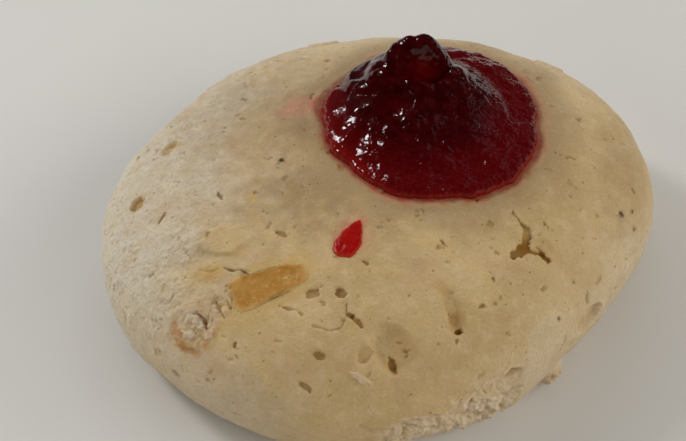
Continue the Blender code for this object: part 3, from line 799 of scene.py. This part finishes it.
def finished_mesh(name, shape):
    mesh = bpy.data.meshes.new(name)
    shape.to_mesh(mesh)
    shape.free()
    return mesh


def triples(items, field):
    values = np.empty(len(items) * 3, np.float32)
    items.foreach_get(field, values)
    return values.reshape(-1, 3).astype(float)


def points_of(mesh):
    return triples(mesh.vertices, "co")


def normals_of(mesh):
    return triples(mesh.vertex_normals, "vector")


def set_points(mesh, points):
    mesh.vertices.foreach_set("co", np.ascontiguousarray(points, np.float32).ravel())
    mesh.update()


def set_masks(mesh, masks):
    for name, values in masks.items():
        attribute = mesh.attributes.new(name, "FLOAT", "POINT")
        attribute.data.foreach_set("value", np.ascontiguousarray(values, np.float32))


def put_in_scene(name, data):
    made = bpy.data.objects.new(name, data)
    bpy.context.scene.collection.objects.link(made)
    return made


def piece(name, mesh, material, node):
    """Puts a finished mesh in the scene, in place of its plain solid."""
    made = put_in_scene(name, mesh)
    mesh.materials.append(material)
    mesh.shade_smooth()
    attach(made, "root")
    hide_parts(node)


def keep_triangles(mesh, count):
    """A copy of the mesh with the given number of triangles, fewest where it is flat."""
    holder = put_in_scene("dense", mesh)
    modifier = holder.modifiers.new("Fewer faces", "DECIMATE")
    modifier.ratio = count / len(mesh.polygons)
    graph = bpy.context.evaluated_depsgraph_get()
    lighter = bpy.data.meshes.new_from_object(holder.evaluated_get(graph))
    bpy.data.objects.remove(holder)
    bpy.data.meshes.remove(mesh)
    return lighter


def make_dough():
    mesh, directions = sphere_mesh("dough", DOUGH_SPHERE_LEVEL)
    points = dough_form(directions)
    set_points(mesh, points)
    normals = normals_of(mesh)
    rise, masks = shape_dough(points, normals)
    points = points + normals * rise[:, None]
    points[:, 2] = np.maximum(points[:, 2], 0.0)
    set_points(mesh, points)
    set_masks(mesh, masks)
    return keep_triangles(mesh, DOUGH_TRIANGLES)


def dome(x, y, place):
    """A dome of the listed height at its middle, 0 at its edge; more fullness, steeper sides."""
    middle_x, middle_y, half_width, half_depth, height, fullness = place
    reach = np.hypot((x / MM - middle_x) / half_width, (y / MM - middle_y) / half_depth)
    return height * MM * (1 - np.clip(reach, 0, 1) ** fullness)


def jam_height(x, y):
    """Height of the dollop over its puddle, at places measured from the jam's middle."""
    rise = sum(dome(x, y, place) for place in JAM_MOUNDS)
    return rise - sum(dome(x, y, place) for place in JAM_HOLLOWS)


def make_jam():
    mesh, directions = sphere_mesh("jam", JAM_SPHERE_LEVEL)
    bearing = np.arctan2(directions[:, 1], directions[:, 0])
    spread = np.hypot(directions[:, 0], directions[:, 1])
    radius = JAM_RADIUS * spread * wavy(bearing, JAM_OUTLINE_WAVES)
    ring = np.column_stack([np.cos(bearing), np.sin(bearing), np.zeros_like(bearing)]) * JAM_RADIUS
    for size, height in JAM_EDGE_WANDER:
        radius += height * grain(ring, size, seed=int(size * 1e5)) * spread**4
    x = radius * np.cos(bearing)
    y = radius * np.sin(bearing)
    floor = top_of_dough(x + JAM_CENTRE[0], y + JAM_CENTRE[1]) - JAM_SINK
    above = np.clip(directions[:, 2], 0, 1)
    thickness = PUDDLE_THICKNESS * above**0.5
    flat = np.column_stack([x, y, np.zeros_like(x)])
    uneven = sum(height * lumps(flat, size, 20 + i) for i, (size, height) in enumerate(JAM_LUMPS))
    thickness += uneven * smooth(0.15, 0.5, above)
    thickness += jam_height(x, y) * smooth(0.0, 0.3, above)
    thickness += TOUCHING_GAP * smooth(0.0, 0.3, above)
    thickness = np.where(above > 0, np.maximum(thickness, 0), 0)
    points = np.column_stack([x + JAM_CENTRE[0], y + JAM_CENTRE[1], floor + thickness])
    set_points(mesh, points)
    rise = np.zeros(len(points))
    for size, height in JAM_PULP:
        nearest, _ = cells(points, size, seed=int(size * 1e6))
        rise += height * (0.55 - nearest) * 2
    pulpy = smooth(-8 * MM, 5 * MM, x - 0.6 * y + 2.5 * MM * grain(points, 4 * MM, seed=73))
    rise *= smooth(0.0, 0.25, above) * (0.25 + 0.75 * pulpy)
    points += normals_of(mesh) * rise[:, None]
    set_points(mesh, points)
    hollow = sum(dome(x, y, place) for place in JAM_HOLLOWS[:2]) / GLOWING_DEPTH
    to_left = smooth(2 * MM, 12 * MM, -x)
    masks = {
        "thin": 1 - smooth(THIN_JAM[0], THIN_JAM[1] + LEFT_THIN_JAM * to_left, thickness),
        "low": 1 - smooth(*LOW_JAM, thickness),
        "glow": hollow,
        "pulpy": pulpy,
    }
    set_masks(mesh, masks)
    return keep_triangles(mesh, JAM_TRIANGLES)


def skin_under(mesh):
    """A function that gives the height of the mesh's top at places (x, y)."""
    tree = BVHTree.FromPolygons(
        [vertex.co for vertex in mesh.vertices],
        [tuple(polygon.vertices) for polygon in mesh.polygons],
    )
    down = Vector((0, 0, -1))
    start = 2 * COOKIE_HEIGHT

    def height(x, y):
        hits = (tree.ray_cast(Vector((a, b, start)), down)[0] for a, b in zip(x, y))
        return np.array([hit.z if hit else 0.0 for hit in hits])

    return height


def fruit_plan(directions, bit):
    """Where each point of a bit lies along and across it: blunt behind and pointed ahead."""
    along, across, _ = directions.T
    spread = np.hypot(along, across)
    wider = np.where(spread > 0, np.maximum(spread, 1e-9) ** (FRUIT_FLATNESS - 1), 0)
    along, across = along * wider, across * wider
    along = np.sign(along) * np.abs(along) ** bit["blunt"]
    across = np.sign(across) * np.abs(across) ** bit["square"]
    taper = 1 - bit["taper"] * along
    return along * bit["length"] / 2, across * taper * bit["width"] / 2


def make_fruit(name, bit, skin):
    """A bit of candied fruit set in the dough, so that its top follows the skin."""
    mesh, directions = sphere_mesh(name, FRUIT_SPHERE_LEVEL)
    along, across = fruit_plan(directions, bit)
    spread = np.hypot(*directions[:, :2].T)
    level = directions * (1, 1, 0) / np.maximum(spread, 1e-9)[:, None]
    rim = np.column_stack([*fruit_plan(level, bit), np.zeros(len(level))])
    wander = mixed(rim, 1.1 * MM, 0.6, 0.5 * MM, seed=63)
    outward = rim / np.maximum(np.linalg.norm(rim, axis=1), 1e-9)[:, None]
    along += bit["ragged"] * wander * spread * outward[:, 0]
    across += bit["ragged"] * wander * spread * outward[:, 1]
    turn = math.radians(bit["turn"])
    x = bit["x"] + along * math.cos(turn) - across * math.sin(turn)
    y = bit["y"] + along * math.sin(turn) + across * math.cos(turn)
    up = directions[:, 2]
    up = np.sign(up) * np.abs(up) ** FRUIT_FLATNESS
    z = skin(x, y) + bit["rise"] + (up - 1) * bit["thick"] / 2
    points = np.column_stack([x, y, z])
    set_points(mesh, points)
    nearest, _ = cells(points, 0.7 * MM, seed=65)
    rough = mixed(points, 1.1 * MM, 0.6, 0.4 * MM, seed=61) + 0.8 * (0.5 - nearest)
    points += normals_of(mesh) * (bit["relief"] * rough)[:, None]
    set_points(mesh, points)
    edge = smooth(bit["rim"], 0.9, spread**FRUIT_FLATNESS)
    faded = bit["faded"] * smooth(0.35, 0.95, directions[:, 0])
    set_masks(mesh, {"edge": np.maximum(edge, faded)})
    return mesh


class Paint:
    """One material and short ways to add nodes to it."""

    def __init__(self, name, colour):
        self.material = bpy.data.materials.new(name)
        self.material.use_nodes = True
        self.tree = self.material.node_tree
        self.shader = self.tree.nodes["Principled BSDF"]
        self.place = self.add("ShaderNodeTexCoord", "Object", {})
        self.colour = colour

    def feed(self, node, inputs):
        """Links or sets each input, whichever its value is."""
        for name, value in inputs.items():
            socket = node.inputs[name]
            if isinstance(value, bpy.types.NodeSocket):
                self.tree.links.new(value, socket)
            elif isinstance(value, tuple):
                socket.default_value = (*value, 1.0)
            else:
                socket.default_value = value

    def add(self, kind, output, inputs, **settings):
        """The output of a new node with these inputs and settings."""
        node = self.tree.nodes.new(kind)
        for name, value in settings.items():
            setattr(node, name, value)
        self.feed(node, inputs)
        return node.outputs[output]

    def noise(self, size, detail=3.0, roughness=0.55, distortion=0.0):
        return self.add("ShaderNodeTexNoise", "Fac", {
            "Vector": self.place,
            "Scale": 1 / size,
            "Detail": detail,
            "Roughness": roughness,
            "Distortion": distortion,
        })

    def dots(self, size):
        """Distance from scattered points, in cell sizes."""
        return self.add("ShaderNodeTexVoronoi", "Distance", {"Vector": self.place, "Scale": 1 / size})

    def mask(self, name):
        return self.add("ShaderNodeAttribute", "Fac", {}, attribute_name=name)

    def between(self, low, high, value, least=0.0, most=1.0):
        """The value's place between low and high, smoothed, as a number from least to most."""
        inputs = {"Value": value, "From Min": low, "From Max": high, "To Min": least, "To Max": most}
        return self.add("ShaderNodeMapRange", "Result", inputs, interpolation_type="SMOOTHSTEP")

    def times(self, first, second):
        return self.add("ShaderNodeMath", 0, {0: first, 1: second}, operation="MULTIPLY")

    def cover(self, share, tint, kind="MIX"):
        """Lays a tint over the colour so far, more of it as share goes from 0 to 1."""
        inputs = {0: share, 6: self.colour, 7: tint}
        self.colour = self.add("ShaderNodeMix", 2, inputs, data_type="RGBA", blend_type=kind)

    def relief(self, height, depth, below=None):
        """Bump mapping of the given depth, on top of another bump."""
        inputs = {"Height": height, "Distance": depth}
        if below is not None:
            inputs["Normal"] = below
        return self.add("ShaderNodeBump", "Normal", inputs)

    def complete(self, **inputs):
        """The material with its colour and the given inputs of its shader."""
        inputs = {name.replace("_", " "): value for name, value in inputs.items()}
        self.feed(self.shader, {"Base Color": self.colour, **inputs})
        return self.material


def dough_paint():
    paint = Paint("baked dough", (0.56, 0.395, 0.19))
    broad = paint.noise(8 * MM, detail=4)
    patches = paint.noise(4.5 * MM, detail=4, roughness=0.6, distortion=0.6)
    mottle = paint.noise(1.8 * MM, detail=5, roughness=0.6)
    fine = paint.noise(0.4 * MM, detail=3, roughness=0.7)
    flour = paint.mask("flour")
    paint.cover(paint.between(0.35, 0.65, broad), (0.64, 0.465, 0.24))
    paint.cover(paint.between(0.55, 0.75, patches, most=0.5), (0.57, 0.395, 0.225))
    paint.cover(paint.between(0.45, 0.30, patches, most=0.5), (0.66, 0.51, 0.27))
    paint.cover(paint.between(0.45, 0.75, mottle, most=0.6), (0.70, 0.55, 0.33))
    floury = paint.times(flour, paint.between(0.28, 0.60, mottle, 0.6, 1.0))
    paint.cover(floury, (0.70, 0.63, 0.505))
    # Darker damp dough near the jam and over the upper left, mostly painted shade of the jam and of
    # that side
    moist = paint.times(paint.mask("moist"), paint.between(0.3, 0.6, broad, 0.9, 1.0))
    paint.cover(moist, (0.335, 0.228, 0.120))
    paint.cover(paint.between(0.52, 0.72, patches, most=0.45), (0.93, 0.85, 0.80), "MULTIPLY")
    paint.cover(paint.between(0.48, 0.32, patches, most=0.7), (1.0, 0.96, 0.82), "MULTIPLY")
    paint.cover(paint.between(0.52, 0.75, fine, most=0.5), (0.42, 0.29, 0.14))
    paint.cover(paint.between(0.44, 0.28, fine, most=0.2), (0.84, 0.76, 0.60))
    # Painted shade: dark specks over the floury skin for the shadows of its fine grit
    grit_shade = paint.times(flour, paint.between(0.54, 0.68, paint.noise(0.7 * MM, detail=4)))
    paint.cover(paint.times(grit_shade, 0.55), (0.44, 0.345, 0.225))
    rough = paint.between(0.3, 0.6, mottle, 0.5, 1.0)
    # Tints; the tan one is partly painted shade on dent walls and in the broken rim's recess
    for name, tint in TINT_COLOURS:
        paint.cover(paint.times(paint.mask(name), rough), tint)
    # Browning of pits, cracks, pores and the jam's edge, with painted shade in the pores and in the
    # hollows of crumb and flakes
    paint.cover(paint.mask("brown_and_shade"), (0.28, 0.13, 0.020))
    frost = paint.times(paint.mask("frost"), paint.between(0.35, 0.6, fine, 0.4, 1.0))
    paint.cover(frost, (0.79, 0.71, 0.575))
    paint.cover(paint.between(0.05, 0.09, paint.dots(2.1 * MM), 0.6, 0.0), (0.16, 0.09, 0.035))
    paint.cover(paint.mask("char"), (0.020, 0.010, 0.002))
    skin = paint.relief(fine, 0.12 * MM)
    skin = paint.relief(paint.between(0.10, 0.30, paint.dots(0.8 * MM)), 0.03 * MM, below=skin)
    skin = paint.relief(paint.times(mottle, flour), 0.25 * MM, below=skin)
    skin = paint.relief(paint.times(fine, flour), 0.12 * MM, below=skin)
    paint.shader.inputs["Subsurface Radius"].default_value = (1.0, 0.6, 0.35)
    return paint.complete(
        Roughness=paint.between(0.3, 0.7, mottle, 0.55, 0.75),
        Normal=skin,
        Subsurface_Weight=0.15,
        Subsurface_Scale=1.0 * MM,
        Specular_IOR_Level=paint.between(0.0, 0.5, paint.mask("char"), 0.3, 0.05),
    )


def jam_paint():
    paint = Paint("strawberry jam", (0.026, 0.0008, 0.0012))
    pulp = paint.noise(1.4 * MM, detail=4)
    fine = paint.noise(0.35 * MM, detail=2)
    low = paint.mask("low")
    pulpy = paint.mask("pulpy")
    paint.cover(paint.between(0.35, 0.7, pulp), (0.050, 0.0012, 0.0018))
    paint.cover(paint.between(0.2, 1.0, paint.mask("glow"), 0, 0.7), (0.12, 0.0006, 0.0006))
    paint.cover(low, (0.088, 0.0014, 0.0022))
    # Painted glints: pinkish specks on the low pulpy jam that stand in for small reflections off its
    # pulp
    painted_glints = paint.times(paint.times(pulpy, low), paint.between(0.55, 0.72, fine, most=0.5))
    paint.cover(painted_glints, (0.15, 0.012, 0.02))
    edge = paint.times(paint.mask("thin"), paint.between(0.3, 0.7, fine, 0.5, 1.0))
    paint.cover(edge, (0.26, 0.010, 0.006))
    return paint.complete(
        Roughness=paint.between(0.3, 0.8, pulp, 0.10, 0.24),
        Normal=paint.relief(paint.times(fine, pulpy), 0.05 * MM),
        IOR=1.38,
        Coat_Weight=0.2,
        Coat_Roughness=0.05,
    )


def red_paint():
    paint = Paint("red candied fruit", (0.31, 0.002, 0.001))
    streak = paint.noise(0.8 * MM, detail=4, distortion=1.5)
    fine = paint.noise(0.3 * MM, detail=2)
    paint.cover(paint.between(0.35, 0.7, streak), (0.42, 0.004, 0.002))
    paint.cover(paint.mask("edge"), (0.42, 0.03, 0.012))
    return paint.complete(
        Roughness=paint.between(0.3, 0.7, fine, 0.25, 0.45),
        Normal=paint.relief(fine, 0.04 * MM),
        Subsurface_Weight=0.2,
        Subsurface_Scale=0.8 * MM,
        Specular_IOR_Level=0.3,
    )


def peel_paint():
    paint = Paint("orange candied peel", (0.46, 0.215, 0.035))
    streak = paint.noise(1.2 * MM, detail=4)
    fine = paint.noise(0.35 * MM, detail=3)
    paint.cover(paint.between(0.35, 0.7, streak), (0.54, 0.29, 0.07))
    paint.cover(paint.between(0.58, 0.70, fine, most=0.5), (0.68, 0.46, 0.20))
    ragged = paint.times(paint.mask("edge"), paint.between(0.3, 0.7, streak, 0.75, 1.0))
    paint.cover(ragged, (0.62, 0.41, 0.16))
    return paint.complete(
        Roughness=paint.between(0.3, 0.7, fine, 0.35, 0.55),
        Normal=paint.relief(fine, 0.05 * MM),
        Subsurface_Weight=0.2,
        Subsurface_Scale=1.0 * MM,
    )


def table_paint():
    paint = Paint("pale table", (0.70, 0.69, 0.665))
    fine = paint.noise(1.2 * MM, detail=2)
    paint.cover(paint.between(0.3, 0.7, paint.noise(60 * MM)), (0.73, 0.72, 0.70))
    return paint.complete(
        Roughness=paint.between(0.3, 0.7, fine, 0.48, 0.56),
        Normal=paint.relief(fine, 0.01 * MM),
        Specular_IOR_Level=0.3,
    )


def make_table():
    shape = bmesh.new()
    bmesh.ops.create_grid(
        shape, x_segments=TABLE_CELLS, y_segments=TABLE_CELLS, size=TABLE_HALF_WIDTH
    )
    mesh = finished_mesh("table", shape)
    mesh.materials.append(table_paint())
    put_in_scene("table", mesh)


def make_camera():
    lift = math.radians(CAMERA_ELEVATION)
    data = bpy.data.cameras.new("camera")
    data.lens = CAMERA_LENS
    camera = put_in_scene("camera", data)
    away = Vector((0, -math.cos(lift), math.sin(lift)))
    camera.location = Vector(CAMERA_AIM) + away * CAMERA_DISTANCE
    camera.rotation_euler = (math.pi / 2 - lift, 0, 0)
    bpy.context.scene.camera = camera


def make_light(name, bearing, elevation, distance, width, height, power, colour, mirrored):
    """A soft rectangular light that faces the cookie; wet surfaces mirror it or not."""
    data = bpy.data.lights.new(name, "AREA")
    data.shape = "RECTANGLE"
    data.size = width
    data.size_y = height
    data.energy = power
    data.color = colour
    light = put_in_scene(name, data)
    turn, lift = math.radians(bearing), math.radians(elevation)
    away = Vector((
        math.cos(turn) * math.cos(lift),
        math.sin(turn) * math.cos(lift),
        math.sin(lift),
    ))
    light.location = away * distance
    light.rotation_euler = away.to_track_quat("Z", "Y").to_euler()
    light.visible_glossy = mirrored


def make_lights():
    for place in LIGHTS:
        make_light(*place)
    world = bpy.data.worlds.new("room")
    bpy.context.scene.world = world
    world.use_nodes = True
    background = world.node_tree.nodes["Background"]
    background.inputs["Color"].default_value = ROOM_COLOUR
    background.inputs["Strength"].default_value = ROOM_STRENGTH
    world.cycles_visibility.glossy = False


def build():
    """Puts the finer pieces, centred on the part's solid, and the table, lights and camera in."""
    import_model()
    bpy.context.scene.view_settings.view_transform = "Standard"

    dough = make_dough()
    jam = make_jam()
    skin = skin_under(dough)
    red = make_fruit("red fruit", RED_BIT, skin)
    peel = make_fruit("orange peel", PEEL_BIT, skin)

    dough_box = points_of(dough)
    solid_low, solid_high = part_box("cookie")
    shift = (np.array(solid_low) + np.array(solid_high)) / 2
    shift = shift - (dough_box.min(axis=0) + dough_box.max(axis=0)) / 2
    shift[2] = 0
    for mesh in (dough, jam, red, peel):
        set_points(mesh, points_of(mesh) + shift)

    piece("cookie_dough", dough, dough_paint(), "cookie")
    piece("jam_dollop", jam, jam_paint(), "strawberry_jam")
    piece("fruit_bit", red, red_paint(), "candied_fruit_red")
    piece("peel_bit", peel, peel_paint(), "candied_peel_orange")

    make_table()
    make_lights()
    make_camera()


build()
